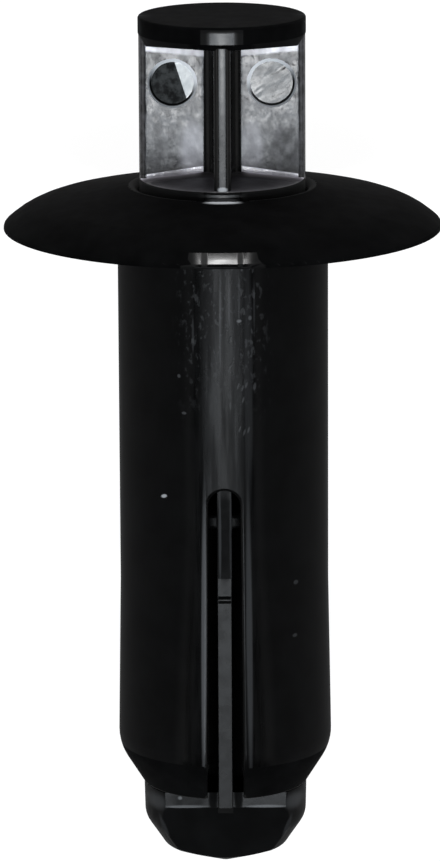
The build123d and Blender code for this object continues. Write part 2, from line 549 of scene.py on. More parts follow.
@dataclass(frozen=True)
class DrawnSkin(BlackPlastic):
    """Skin of the barrel, drawn along it as it left the mould: streaks, and scuffs below the flange.

    Args:
        cloud: How far the streaks change the roughness.
        dulling: The streaks.
        streak_depth: Depth of the streaks in millimetres.
        scuffs: Pattern of the scuffs.
        scuff: How much lighter the scuffs are.
        scuff_depth: How far they are pressed in, in millimetres.
        scuff_foot: Height at which the scuffs end.
        scuff_fade: Height above that over which they thin out.
        scuff_sides: Distances from the middle at which they begin to thin out and end.
        splay: How much wider the burnished strip is at the foot of the legs, in millimetres.
        slot_top: Height of the top of the slots.
        foot: Height of the foot of the legs.
    """

    cloud: float = 0.09
    dulling: Clouds = Clouds(rough=0.6, stretch=(3.2, 3.2, 0.22))
    streak_depth: float = 0.004
    scuffs: Clouds = Clouds(low=0.54, high=0.66, rough=0.6, stretch=(4.4, 4.4, 2.4), shift=7.0)
    scuff: float = 0.016
    scuff_depth: float = 0.003
    scuff_foot: float = -9.0
    scuff_fade: float = 5.0
    scuff_sides: tuple[float, float] = (1.3, 2.4)
    splay: float = 0.55
    slot_top: float = -11.5
    foot: float = -24.4

    def scuffed(self, bench: Bench) -> Socket:
        """Lay out the small scuffs of the barrel's upper part.

        Args:
            bench: The bench to lay them out on.

        Returns:
            1 in the scuffs and 0 between them.
        """
        above = bench.ramp(bench.parts[2], self.scuff_foot, self.scuff_foot + self.scuff_fade)
        beside = bench.ramp(bench.sum(Sum.SIZE, bench.parts[0]), *self.scuff_sides, 1.0, 0.0)
        return bench.both(self.scuffs.over(bench), above, beside)

    def lightness(self, bench: Bench) -> Socket:
        """Return how light the plastic is, with its scuffs."""
        return bench.sum(Sum.MULTIPLY_ADD, self.scuffed(bench), self.scuff, super().lightness(bench))

    def aside(self, bench: Bench) -> Socket:
        """Return the distance from the middle of the strip, which widens down the legs."""
        wider = bench.ramp(bench.parts[2], self.foot, self.slot_top, self.splay, 0.0)
        return bench.sum(Sum.SUBTRACT, super().aside(bench), wider)

    def relief(self, bench: Bench) -> Socket:
        """Return the normal, with the streaks and the scuffs on top of the grain."""
        drawn = bench.bump(self.dulling.noise(bench), self.streak_depth, super().relief(bench))
        return bench.bump(self.scuffed(bench), -self.scuff_depth, drawn)


@dataclass(frozen=True)
class GripPolish(BlackPlastic):
    """Polished flat face of a grip rib, cloudy from handling, with painted highlights along its upper and
    lower edges.

    Args:
        fall: How fast the polish rounds off down the rib, per millimetre.
        flat_height: Height above which the rib is truly flat.
        lift: How far the flat face tips towards the cap, per millimetre.
        hollows: Pattern of the hollows under the polish.
        mottle: Depth of the hollows in millimetres.
        inner: Distance of the rib's inner edge from the axis.
        width: Width of the flat face.
        width_fade: Width over which its burnished edges end.
        foot: Height of the rib's foot at its inner edge.
        foot_fall: How far the foot falls outwards, per millimetre.
        foot_edge: Width of the edge at the foot, which has a painted highlight, is smoother and is turned up.
        foot_under: How far that edge reaches below the foot.
        foot_fade: Width over which it ends.
        foot_lift: How far it is turned up, per millimetre.
        foot_polish: How much smoother it is.
        foot_dull: How much rougher the flat face is towards the foot.
        head: Height of the rib's head at its inner edge.
        head_rise: How far the head rises outwards, per millimetre.
        head_edge: Width of the painted highlight along the head.
        head_over: How far that edge reaches above the head.
        head_fade: Width over which it ends.
        head_run: Distance outwards over which it brightens.
        head_shine: How bright it is at its inner end and beyond that distance.
        highlight_patches: Patches in which the painted edge highlights are at full strength.
        wear_and_sheen: How bright the painted edge highlights are between those patches.
        painted_highlight: How light the painted edge highlights are.
    """

    tone: Clouds = Clouds(2.2, low=0.35, detail=4.0, rough=0.6)
    darkest: float = 0.4
    lightest: float = 1.6
    dulling: Clouds = Clouds(low=0.34, high=0.64, rough=0.55, stretch=(2.6, 2.6, 1.5), shift=5.0)
    fall: float = 0.021
    flat_height: float = 6.1
    lift: float = 0.014
    hollows: Clouds = Clouds(detail=2.5, stretch=(2.3, 2.3, 1.5), shift=11.0)
    mottle: float = 0.03
    inner: float = 0.95
    width: float = 2.45
    width_fade: float = 0.1
    foot: float = 2.6
    foot_fall: float = 0.146
    foot_edge: float = 0.2
    foot_under: float = 0.3
    foot_fade: float = 0.05
    foot_lift: float = 0.1
    foot_polish: float = 0.18
    foot_dull: float = 0.12
    head: float = 8.07
    head_rise: float = 0.1
    head_edge: float = 0.13
    head_over: float = 0.05
    head_fade: float = 0.12
    head_run: float = 2.2
    head_shine: tuple[float, float] = (0.35, 0.8)
    highlight_patches: Clouds = Clouds(low=0.35, high=0.6, detail=2.0, stretch=(1.4, 1.0, 0.2), shift=3.0)
    wear_and_sheen: float = 0.6
    painted_highlight: float = 0.95

    def outwards(self, bench: Bench) -> Socket:
        """Return the distance outwards from the rib's inner edge."""
        return bench.sum(Sum.SUBTRACT, bench.sum(Sum.SIZE, bench.parts[0]), self.inner)

    def above_foot(self, bench: Bench) -> Socket:
        """Return the height above the rib's foot."""
        fallen = bench.sum(Sum.MULTIPLY_ADD, self.outwards(bench), self.foot_fall, -self.foot)
        return bench.sum(Sum.ADD, bench.parts[2], fallen)

    def foot_band(self, bench: Bench) -> Socket:
        """Return 1 on the edge at the foot of the rib, where a highlight is painted."""
        return bench.within(self.above_foot(bench), -self.foot_under, self.foot_edge, self.foot_fade)

    def head_highlight(self, bench: Bench) -> Socket:
        """Lay out the painted highlight along the head of the rib, which brightens outwards.

        Args:
            bench: The bench to lay it out on.

        Returns:
            How bright the painted highlight is, and 0 beside it.
        """
        out = self.outwards(bench)
        head = bench.sum(Sum.MULTIPLY_ADD, out, self.head_rise, self.head)
        below = bench.sum(Sum.SUBTRACT, head, bench.parts[2])
        band = bench.within(below, -self.head_over, self.head_edge, self.head_fade)
        return bench.both(band, bench.ramp(out, 0.0, self.head_run, *self.head_shine))

    def edge_highlights(self, bench: Bench) -> Socket:
        """Lay out the painted highlights along the foot and the head of the rib.

        Args:
            bench: The bench to lay them out on.

        Returns:
            How bright the painted highlights are, and 0 between them.
        """
        bands = bench.most(self.foot_band(bench), self.head_highlight(bench))
        end = bench.ramp(self.outwards(bench), self.width, self.width + self.width_fade, 1.0, 0.0)
        return bench.both(bands, self.highlight_patches.over(bench, self.wear_and_sheen), end)

    def lightness(self, bench: Bench) -> Socket:
        """Return how light the plastic is, with the painted highlights along its edges."""
        return bench.sum(Sum.MULTIPLY_ADD, self.edge_highlights(bench), self.painted_highlight, super().lightness(bench))

    def roughening(self, bench: Bench) -> Socket:
        """Lay out the roughness, with patches that handling has dulled.

        Args:
            bench: The bench to lay it out on.

        Returns:
            The roughness.
        """
        towards_foot = bench.ramp(bench.parts[2], self.foot, self.flat_height, self.foot_dull, 0.0)
        dulled = bench.sum(Sum.ADD, super().roughening(bench), towards_foot)
        return bench.sum(Sum.MULTIPLY_ADD, self.foot_band(bench), -self.foot_polish, dulled)

    def relief(self, bench: Bench) -> Socket:
        """Lay out the normal, rounded off down the rib and hollowed under the clouds.

        Args:
            bench: The bench to lay it out on.

        Returns:
            The normal.
        """
        below = bench.sum(Sum.SMALLER, bench.sum(Sum.SUBTRACT, bench.parts[2], self.flat_height), 0.0)
        tipped = bench.sum(Sum.MULTIPLY, bench.parts[2], -self.lift)
        rounded = bench.sum(Sum.ADD, tipped, bench.both(below, below, -self.fall / 2))
        under = bench.sum(Sum.LARGER, bench.sum(Sum.SUBTRACT, self.foot_edge, self.above_foot(bench)), 0.0)
        turned_up = bench.sum(Sum.MULTIPLY_ADD, under, self.foot_lift, rounded)
        height = bench.sum(Sum.MULTIPLY_ADD, self.hollows.noise(bench), self.mottle, turned_up)
        return bench.bump(height, 1.0, super().relief(bench))


@dataclass(frozen=True)
class CollarFace(BlackPlastic):
    """The collar's upper face, which runs up to the side ribs in a smooth hollow root with a painted
    highlight.

    Args:
        rib_face: Distance of the ribs' faces from the middle plane.
        root: Reach of the hollow root in front of a rib, in millimetres.
        steepness: Slope of the root where it meets the rib.
        root_polish: How much smoother the root is than the rest of the face.
        highlight_sides: Distances from the middle at which the painted highlight up the root begins and is
            full.
        painted_highlight: How light the painted highlight up the root is.
    """

    rib_face: float = 0.39
    root: float = 1.25
    steepness: float = 3.2
    root_polish: float = 0.36
    highlight_sides: tuple[float, float] = (0.8, 1.3)
    painted_highlight: float = 0.9

    def up_root(self, bench: Bench) -> Socket:
        """Return how far up the root a point lies, from 0 at its foot to 1 at the rib."""
        away = bench.sum(Sum.SUBTRACT, bench.sum(Sum.SIZE, bench.parts[1]), self.rib_face)
        return bench.ramp(away, 0.0, self.root, 1.0, 0.0)

    def lightness(self, bench: Bench) -> Socket:
        """Lay out how light the plastic is, with a painted highlight up the root that fades out towards the
        middle rib.

        Args:
            bench: The bench to lay it out on.

        Returns:
            The shade.
        """
        rise = self.up_root(bench)
        beside = bench.ramp(bench.sum(Sum.SIZE, bench.parts[0]), *self.highlight_sides)
        wear_and_sheen = bench.both(rise, rise, beside)
        return bench.sum(Sum.MULTIPLY_ADD, wear_and_sheen, self.painted_highlight, super().lightness(bench))

    def roughening(self, bench: Bench) -> Socket:
        """Return the roughness, smoother up the root."""
        rough = super().roughening(bench)
        return bench.sum(Sum.MULTIPLY_ADD, self.up_root(bench), -self.root_polish, rough)

    def relief(self, bench: Bench) -> Socket:
        """Lay out the normal, turned up along the root.

        Args:
            bench: The bench to lay it out on.

        Returns:
            The normal.
        """
        rise = self.up_root(bench)
        height = bench.both(rise, rise, self.steepness * self.root / 2)
        return bench.bump(height, 1.0, super().relief(bench))


@dataclass(frozen=True)
class EjectorEnd(BlackPlastic):
    """Print of an ejector pin's end: creased on the left rib, with a painted highlight on the facet right of
    the crease, and scored aslant on the right one.

    Args:
        crease: A point of the left mark's crease, as x and z in millimetres.
        crease_lean: How far the crease leans from upright, in degrees.
        crease_tilt: How far the facet to the left of the crease is turned away, in degrees.
        crease_width: Width of the crease in millimetres.
        facet_highlight: Painted highlight on the left mark's facet to the right of the crease.
        parting: Distance from the middle from which a point belongs to the left or the right mark.
        score: Depth of the right mark's scores in millimetres.
        score_lean: How far the scores lean to the right, in degrees.
        score_size: Size of the scores across, back and along, in millimetres.
        score_detail: How many finer scores are laid over them.
    """

    tone: Clouds = Clouds(3.0, low=0.35, high=0.68, detail=4.0, rough=0.6)
    darkest: float = 0.3
    lightest: float = 1.7
    crease: tuple[float, float] = (-1.9, 6.86)
    crease_lean: float = 17.6
    crease_tilt: float = 13.0
    crease_width: float = 0.03
    facet_highlight: float = 0.34
    parting: float = 0.1
    score: float = 0.022
    score_lean: float = 48.0
    score_size: Trio = (0.38, 1.0, 0.9)
    score_detail: float = 1.5

    def on_left(self, bench: Bench) -> Socket:
        """Return 1 on the left mark and 0 on the right one."""
        return bench.ramp(bench.parts[0], -self.parting, self.parting, 1.0, 0.0)

    def beyond(self, bench: Bench) -> Socket:
        """Measure how far a point lies to the left of the crease.

        Args:
            bench: The bench to measure it on.

        Returns:
            The distance, and 0 to the right of the crease.
        """
        x, _, z = bench.parts
        lean = radians(self.crease_lean)
        start = cos(lean) * self.crease[0] + sin(lean) * self.crease[1]
        along = bench.sum(Sum.MULTIPLY_ADD, x, -cos(lean), bench.sum(Sum.MULTIPLY_ADD, z, -sin(lean), start))
        return bench.sum(Sum.LARGER, along, 0.0)

    def lightness(self, bench: Bench) -> Socket:
        """Lay out how light the plastic is: mottled, with a painted highlight on the left mark's facet that
        is not turned.

        Args:
            bench: The bench to lay it out on.

        Returns:
            The shade.
        """
        left = self.on_left(bench)
        turned = bench.both(bench.ramp(self.beyond(bench), 0.0, self.crease_width), left)
        straight = bench.sum(Sum.SUBTRACT, left, turned)
        return bench.sum(Sum.ADD, super().lightness(bench), bench.both(straight, self.facet_highlight))

    def relief(self, bench: Bench) -> Socket:
        """Lay out the normal, with the crease on the left and the scores on the right.

        Args:
            bench: The bench to lay it out on.

        Returns:
            The normal.
        """
        turned = bench.both(self.beyond(bench), tan(radians(self.crease_tilt)), self.on_left(bench))
        aslant = bench.framed((0.0, 0.0, 0.0), self.score_size, self.score_lean)
        scores = bench.both(bench.noise(aslant, 1.0, self.score_detail), self.score)
        return bench.bump(bench.sum(Sum.ADD, turned, scores), 1.0, super().relief(bench))


@dataclass(frozen=True)
class EjectorSide(BlackPlastic):
    """Sloping side of an ejector mark, with a painted highlight towards the cap and the middle rib and along
    its outer edge, and black below.

    Args:
        reach: Distance of the mark's centre from the axis.
        level: Height of the mark's centre.
        painted_highlight: How light the painted highlight on its upper part is.
        highlight_way: How much the painted highlight rises inwards and upwards.
        highlight_turn: Places along that way, in millimetres, at which the painted highlight begins and is
            full.
        groove: Distance from the centre at which the black line round the lower half ends.
        groove_fade: Half of the width over which it ends.
        outer: Share of the painted highlight beyond that line.
    """

    reach: float = 2.25
    level: float = 6.64
    painted_highlight: float = 0.65
    highlight_way: tuple[float, float] = (0.35, 0.94)
    highlight_turn: tuple[float, float] = (-0.3, 0.6)
    groove: float = 1.05
    groove_fade: float = 0.02
    outer: float = 0.5

    def lightness(self, bench: Bench) -> Socket:
        """Lay out how light the plastic is, with a painted highlight that rises towards the top, the middle
        and the outer edge.

        Args:
            bench: The bench to lay it out on.

        Returns:
            The shade.
        """
        inwards = bench.sum(Sum.SUBTRACT, self.reach, bench.sum(Sum.SIZE, bench.parts[0]))
        above = bench.sum(Sum.SUBTRACT, bench.parts[2], self.level)
        sideways, upwards = self.highlight_way
        along = bench.sum(Sum.MULTIPLY_ADD, inwards, sideways, bench.sum(Sum.MULTIPLY, above, upwards))
        high = bench.ramp(along, *self.highlight_turn)
        away = bench.sum(Sum.ROOT, bench.sum(Sum.MULTIPLY_ADD, above, above, bench.both(inwards, inwards)))
        within, beyond = self.groove - self.groove_fade, self.groove + self.groove_fade
        rim = bench.ramp(away, within, beyond, 0.0, self.outer)
        return bench.sum(Sum.MULTIPLY_ADD, bench.most(high, rim), self.painted_highlight, self.shade)


@dataclass(frozen=True)
class RoundedRib(BlackPlastic):
    """Front edge of a grip rib, rounded across, so that it shows one bright line.

    Args:
        crown: How fast it rounds off across, per millimetre.
        polish: How much rougher its foot is than its middle, and how much smoother its head.
        polish_foot: Height up to which it is polished least.
        polish_top: Height above which it is polished most.
    """

    crown: float = 0.6
    polish: float = 0.06
    polish_foot: float = 4.0
    polish_top: float = 7.6

    def roughening(self, bench: Bench) -> Socket:
        """Return the roughness, which falls towards the head of the rib."""
        wear_and_sheen = bench.ramp(bench.parts[2], self.polish_foot, self.polish_top, self.polish, -self.polish)
        return bench.sum(Sum.ADD, super().roughening(bench), wear_and_sheen)

    def relief(self, bench: Bench) -> Socket:
        """Return the normal, rounded across the rib."""
        across = bench.parts[0]
        return bench.bump(bench.both(across, across, -self.crown / 2), 1.0, super().relief(bench))


@dataclass(frozen=True)
class Facet:
    """One small face of a moulding.

    Args:
        place: Its centre in millimetres along the upright axes.
        facing: Its outward normal along the upright axes.
    """

    place: Vector
    facing: Vector

    @property
    def reach(self) -> float:
        """Distance of the facet from the rivet's axis."""
        return hypot(self.place.x, self.place.y)

    @property
    def bearing(self) -> float:
        """How far the facet faces away from straight to the front or the rear, in degrees."""
        return degrees(atan2(abs(self.facing.x), abs(self.facing.y)))


Holds = Callable[[Facet], bool]


def anywhere(facet: Facet) -> bool:
    """Whether a facet is left for the last surface, which takes all that no other has."""
    return True


def dress(node: Node, axes: RivetAxes, surfaces: list[tuple[BlackPlastic, Holds]]) -> None:
    """Give each surface of a moulding its finish.

    Args:
        node: The moulding.
        axes: The rivet's upright axes.
        surfaces: Finishes, each with the test of the facets that have it. A facet has the first that fits.
    """
    mesh = frame["nodes"][node.value].data
    mesh.materials.clear()
    counts = [0] * len(surfaces)
    for finish, _ in surfaces:
        mesh.materials.append(finish.material(axes))
    for polygon in mesh.polygons:
        facet = Facet(axes.millimetres(polygon.center), axes.upright(polygon.normal))
        number = next(index for index, (_, holds) in enumerate(surfaces) if holds(facet))
        polygon.material_index = number
        counts[number] += 1
    for (finish, _), count in zip(surfaces, counts):
        LOG.info("%s: %s on %d facets", node.value, finish.name, count)


@dataclass
class Grommet:
    """The flanged grommet: crown, rim, mouth, barrel and legs.

    Args:
        axes: The rivet's upright axes.
        barrel_radius: Radius of the barrel.
        bore_radius: Radius of the bore.
        bore_reach: Distance from the axis within which all is bore.
        mouth_top: Height of the crown at the mouth.
        mouth_reach: Reach of the rounding round the mouth.
        roll_level: Height at which the crown has rolled over into the rim.
        roll_reach: Distance of that from the axis.
        rim_shine: Bearing at which the rim's burnished stretch ends, in degrees.
        shoulder: Height under which the legs turn in to their shoulders.
        shoulder_slope: Least part of a facet's normal that points down on a shoulder.
        inward: Least part of a facet's normal towards the axis in the bore or in a slot.
    """

    axes: RivetAxes
    barrel_radius: float = 4.81
    bore_radius: float = 3.87
    bore_reach: float = 3.89
    mouth_top: float = 2.0
    mouth_reach: float = 4.28
    roll_level: float = 0.62
    roll_reach: float = 9.4
    rim_shine: float = 9.8
    shoulder: float = -23.5
    shoulder_slope: float = 0.25
    inward: float = 0.5

    def build(self) -> None:
        """Dress the moulding."""
        crown = EtchedTop("crown_plastic", rubs_and_highlights=self.lip_highlight())
        rim = BlackPlastic(
            "rim_plastic", shade=0.0014, gloss=0.16, roughness=0.21, cloud=0.04, grain=0.0006, burnish=1.2,
            rubs_and_highlights=self.rim_rubs(),
        )
        mouth = BlackPlastic(
            "mouth_plastic", shade=0.0014, gloss=0.12, roughness=0.15, cloud=0.03, grain=0.0004, burnish=1.3
        )
        barrel = DrawnSkin(
            "barrel_plastic", shade=0.0012, gloss=0.046, roughness=0.29, burnish=1.55, matte=0.75,
            rubs_and_highlights=self.barrel_marks_and_highlights(),
        )
        inside = BlackPlastic("bore_plastic", roughness=0.35)
        surfaces = [
            (rim, self.on_rim),
            (mouth, self.on_mouth),
            (crown, self.on_crown),
            (inside, self.inside),
            (crown, self.on_shoulder),
            (barrel, anywhere),
        ]
        dress(Node.GROMMET, self.axes, surfaces)

    def lip_highlight(self) -> tuple[RubOrHighlight, ...]:
        """Return the painted highlight on the front of the crown's lip round the mouth."""
        return (RubOrHighlight(0.0, self.mouth_top - 0.02, 0.9, 0.3, 0.4, y=-4.38, half_y=0.24),)

    def rim_rubs(self) -> tuple[RubOrHighlight, ...]:
        """Lay out the dull lower edge of the rim and the lines that part its bright middle from its ends.

        Returns:
            The marks.
        """
        front = -9.7
        return (
            RubOrHighlight(-0.83, 0.4, 0.17, 0.6, dull=0.38, y=front, half_y=3.0),
            RubOrHighlight(0.76, 0.4, 0.14, 0.6, dull=0.38, y=front, half_y=3.0),
            RubOrHighlight(0.0, 0.0, 9.0, 0.08, dull=0.8, y=front, half_y=9.0),
        )

    def barrel_marks_and_highlights(self) -> tuple[RubOrHighlight, ...]:
        """Lay out the witness line, scratches, specks and nicks of the barrel, and the painted highlights
        along the slot edges and the burnished strip's right edge.

        Returns:
            The marks.
        """
        line, scratch, speck, nick = 0.022, 0.014, 0.06, 0.024
        upper_nicks = ((0.66, -6.45), (0.86, -6.55), (1.03, -6.42), (0.88, -7.1))
        lower_nicks = ((0.72, -8.45), (0.93, -8.6), (1.12, -8.5))
        return (
            RubOrHighlight(-0.14, -3.6, 0.06, 2.6, line, lean=0.2),
            RubOrHighlight(0.26, -2.6, 0.05, 1.3, scratch),
            RubOrHighlight(0.71, -2.4, 0.06, 1.2, scratch),
            RubOrHighlight(1.39, -2.8, 0.05, 1.3, scratch * 0.7),
            RubOrHighlight(-1.37, -4.1, 0.06, 0.95, scratch),
            RubOrHighlight(0.71, -3.45, 0.13, 0.08, speck),
            RubOrHighlight(1.2, -3.33, 0.09, 0.12, speck * 0.6),
            RubOrHighlight(-2.01, -6.05, 0.08, 0.1, speck * 0.5),
            RubOrHighlight(-1.79, -7.75, 0.12, 0.07, speck * 0.5),
            RubOrHighlight(1.4, -6.5, 0.08, 0.2, speck * 0.35, lean=8.0),
            RubOrHighlight(0.3, -7.35, 0.05, 0.22, speck * 0.3),
            RubOrHighlight(-2.73, -11.73, 0.15, 0.09, 0.26, lean=-20.0),
            RubOrHighlight(3.26, -15.92, 0.12, 0.12, speck * 0.3),
            RubOrHighlight(3.21, -18.41, 0.12, 0.1, speck * 0.3),
            # Painted highlights along the slots' edges, which are also smoother, and along the right edge of
            # the burnished strip.
            RubOrHighlight(-0.95, -18.2, 0.14, 7.6, 0.052, -0.1, lean=0.4),
            RubOrHighlight(1.12, -18.2, 0.16, 7.2, 0.026, -0.1, lean=-0.4),
            RubOrHighlight(1.12, -6.4, 0.22, 6.2, 0.009),
            *(RubOrHighlight(x, z, 0.05, 0.17, nick, lean=16.0) for x, z in upper_nicks + lower_nicks),
            *parting_lines_and_sheen(self.barrel_radius, middle=-12.0, half_length=13.0),
        )

    def on_rim(self, facet: Facet) -> bool:
        """Whether a facet is on the rolled rim of the flange, at its front or rear."""
        rolled = facet.reach > self.roll_reach and 0.0 < facet.place.z < self.roll_level
        return rolled and facet.bearing < self.rim_shine

    def on_mouth(self, facet: Facet) -> bool:
        """Whether a facet is on the rounding of the mouth."""
        return facet.place.z > 0.0 and self.bore_radius + SLACK < facet.reach < self.mouth_reach

    def on_crown(self, facet: Facet) -> bool:
        """Whether a facet is on the flange, outside the bore."""
        return facet.place.z > 0.0 and facet.reach > self.bore_reach

    def inside(self, facet: Facet) -> bool:
        """Whether a facet is in the bore or in a slot."""
        outward = facet.facing.x * facet.place.x + facet.facing.y * facet.place.y
        return outward < -self.inward * facet.reach or facet.reach < self.bore_reach

    def on_shoulder(self, facet: Facet) -> bool:
        """Whether a facet is on the shoulder or the end of a leg."""
        return facet.place.z < self.shoulder and facet.facing.z < -self.shoulder_slope


@dataclass
class DrivePin:
    """The drive pin: cap, grip ribs, collar, drive ribs and nose.

    Args:
        axes: The rivet's upright axes.
        cap_rim: Height of the lower edge of the cap's side.
        cap_top: Height of the cap's flat top.
        cap_edge: Height of the rounding round it.
        cap_shine: Bearing at which the burnished stretch of the cap's side ends, in degrees.
        collar_foot: Height of the lower edge of the collar's side.
        collar_top: Height of the collar's rim.
        collar_round: Reach of the rounding of the collar's side.
        collar_drop: How far the rounded edge of its upper face lies below the rim.
        collar_rise: How far the ribs' roots rise above the rim.
        pin_radius: Radius of the guiding ribs.
        grip_face: Distance of the flat faces of the side grip ribs from the middle plane.
        grip_inner: Distance of those faces' inner edges from the axis.
        grip_round: Reach of the roundings at their ends.
        rib_front: Distance from the middle plane beyond which the front rib's edge lies.
        mark_reach: Distance of an ejector mark's centre from the axis.
        mark_level: Height of an ejector mark's centre.
        mark_radius: Radius of an ejector mark.
        nose_top: Height of the top of the nose's flats.
        nose_edge: Height of their lower edge.
        nose_front: Distance from the middle plane beyond which they lie.
        nose_square: Least part of a facet's normal that points to the front or the rear on them.
    """

    axes: RivetAxes
    cap_rim: float = 8.93
    cap_top: float = 9.7
    cap_edge: float = 0.12
    cap_shine: float = 12.5
    collar_foot: float = 0.8
    collar_top: float = 2.25
    collar_round: float = 0.2
    collar_drop: float = 0.1
    collar_rise: float = 0.6
    pin_radius: float = 3.785
    grip_face: float = 0.39
    grip_inner: float = 0.85
    grip_round: float = 0.3
    rib_front: float = 3.0
    mark_reach: float = 2.25
    mark_level: float = 6.64
    mark_radius: float = 1.14
    nose_top: float = -26.2
    nose_edge: float = -27.0
    nose_front: float = 2.0
    nose_square: float = 0.95

    def build(self) -> None:
        """Dress the moulding."""
        cap = EtchedTop("cap_plastic", rubs_and_highlights=parting_lines_and_sheen(self.pin_radius, middle=9.25, half_length=0.6))
        cap_side = BlackPlastic(
            "cap_side_plastic", gloss=0.2, roughness=0.21, cloud=0.04, grain=0.0006, burnish=0.62,
            rubs_and_highlights=self.cap_rubs(),
        )
        # The ejector ends' shade, lighter than the plain black plastic's, is painted light on their floors.
        print_end = EjectorEnd(
            "ejector_end_plastic", shade=0.028, gloss=0.2, roughness=0.15, cloud=0.06, grain=0.0003,
            tint=(0.93, 1.0, 1.02),
        )
        print_side = EjectorSide(
            "ejector_side_plastic", shade=0.002, roughness=0.4, reach=self.mark_reach, level=self.mark_level
        )
        # The grip faces' shade, far lighter than the plain black plastic's, is partly painted sheen.
        grip = GripPolish(
            "grip_plastic", shade=0.03, gloss=0.2, roughness=0.17, cloud=0.06, grain=0.0004,
            rubs_and_highlights=self.grip_highlights_and_dulling(), tint=(0.97, 0.97, 1.06),
        )
        # The collar face's shade, lighter than the plain black plastic's, is painted light.
        collar = CollarFace(
            "collar_plastic", shade=0.05, gloss=0.42, roughness=0.5, tint=(1.0, 0.96, 1.08),
            rib_face=self.grip_face,
        )
        collar_side = BlackPlastic(
            "collar_side_plastic", shade=0.002, gloss=0.12, roughness=0.2, burnish=0.95,
            rubs_and_highlights=self.collar_highlight(),
        )
        rib_edge = RoundedRib(
            "rib_edge_plastic", shade=0.002, gloss=0.15, roughness=0.22, cloud=0.03, rubs_and_highlights=self.rib_foot_highlight()
        )
        nose = BlackPlastic("nose_plastic", shade=0.003, gloss=0.08, roughness=0.24, rubs_and_highlights=self.nose_marks_and_highlights())
        tip = BlackPlastic("tip_plastic", gloss=0.03, roughness=0.6, rubs_and_highlights=self.tip_highlights())
        shank = BlackPlastic("pin_plastic", gloss=0.065, roughness=0.25, burnish=1.5, rubs_and_highlights=self.shank_dulling_and_highlights())
        surfaces = [
            (cap, self.on_top),
            (cap_side, self.on_cap_shine),
            (cap, self.on_cap_side),
            (print_end, self.on_print),
            (print_side, self.in_mark),
            (grip, self.on_grip),
            (collar, self.on_collar),
            (collar_side, self.on_collar_side),
            (rib_edge, self.on_rib_edge),
            (nose, self.on_nose_flat),
            (tip, self.on_tip),
            (shank, anywhere),
        ]
        dress(Node.DRIVE_PIN, self.axes, surfaces)

    def grip_highlights_and_dulling(self) -> tuple[RubOrHighlight, ...]:
        """Lay out the painted sheen on the side ribs' faces beside the middle rib, and their dull outer feet.

        Returns:
            The marks.
        """
        face = -0.4
        return (
            # Painted sheen beside the middle rib.
            RubOrHighlight(-1.3, 3.5, 0.7, 1.5, 0.2, y=face),
            RubOrHighlight(1.25, 3.6, 0.7, 1.4, 0.12, y=face),
            RubOrHighlight(2.9, 3.7, 0.8, 1.2, dull=0.12, y=face),
            RubOrHighlight(-3.0, 3.7, 0.5, 0.9, dull=0.03, y=face),
        )

    def cap_rubs(self) -> tuple[RubOrHighlight, ...]:
        """Return the dull upper edge of the cap's side."""
        return (RubOrHighlight(0.0, self.cap_top, 9.0, 0.27, dull=0.8, y=0.0, half_y=9.0),)

    def rib_foot_highlight(self) -> tuple[RubOrHighlight, ...]:
        """Return the painted highlight at the foot of the front rib."""
        return (RubOrHighlight(0.0, 2.34, 0.26, 0.13, 0.3),)

    def collar_highlight(self) -> tuple[RubOrHighlight, ...]:
        """Return the painted highlight on the front of the collar's side."""
        return (RubOrHighlight(0.0, 1.88, 0.75, 0.1, 0.1, y=-self.pin_radius),)

    def shank_dulling_and_highlights(self) -> tuple[RubOrHighlight, ...]:
        """Lay out the dull stretch of the front rib behind the slot's top and the painted highlights along
        its two edges.

        Returns:
            The marks.
        """
        return (
            RubOrHighlight(0.0, -13.6, 0.5, 2.6, dull=0.35),
            # Painted highlights along the rib's two edges.
            RubOrHighlight(-0.2, -13.8, 0.07, 2.5, 0.03),
            RubOrHighlight(0.3, -13.8, 0.07, 2.5, 0.02),
        )

    def tip_highlights(self) -> tuple[RubOrHighlight, ...]:
        """Lay out the painted sheen on the nose's outer corners and the painted highlights along its lower
        side edges.

        Returns:
            The marks.
        """
        return (
            RubOrHighlight(-3.3, -26.8, 0.7, 0.5, 0.022, lean=-10.0),
            RubOrHighlight(3.3, -26.8, 0.7, 0.5, 0.024, lean=10.0),
            RubOrHighlight(-2.85, -28.0, 0.12, 0.8, 0.012, lean=-20.0),
            RubOrHighlight(2.85, -28.0, 0.12, 0.8, 0.012, lean=20.0),
        )

    def nose_marks_and_highlights(self) -> tuple[RubOrHighlight, ...]:
        """Lay out the smeared and burnished parts of the nose's flats, the painted highlights along their
        lower edges and a few specks.

        Returns:
            The marks.
        """
        return (
            RubOrHighlight(-1.8, -26.6, 1.3, 0.45, dull=0.22),
            RubOrHighlight(-0.58, -26.2, 0.24, 1.6, dull=0.7),
            RubOrHighlight(0.6, -26.2, 0.24, 1.6, dull=0.7),
            # Painted highlights along the flats' lower edges.
            RubOrHighlight(-1.84, -26.93, 1.15, 0.09, 0.06),
            RubOrHighlight(1.85, -26.93, 1.15, 0.09, 0.07),
            RubOrHighlight(-2.11, -26.51, 0.12, 0.1, 0.08),
            RubOrHighlight(-0.41, -27.82, 0.1, 0.1, 0.03),
        )

    def on_top(self, facet: Facet) -> bool:
        """Whether a facet is on the top of the cap or its upper edge."""
        return facet.place.z > self.cap_top - self.cap_edge

    def on_cap_side(self, facet: Facet) -> bool:
        """Whether a facet is on the cap's side."""
        return facet.place.z > self.cap_rim - SLACK and facet.reach > self.pin_radius

    def on_cap_shine(self, facet: Facet) -> bool:
        """Whether a facet is on the burnished stretch of the cap's side."""
        return self.on_cap_side(facet) and facet.bearing < self.cap_shine

    def in_mark(self, facet: Facet) -> bool:
        """Whether a facet is in an ejector mark, on its floor or its sloping side."""
        away = hypot(abs(facet.place.x) - self.mark_reach, facet.place.z - self.mark_level)
        return -self.grip_face + SLACK < facet.place.y < 0.0 and away < self.mark_radius

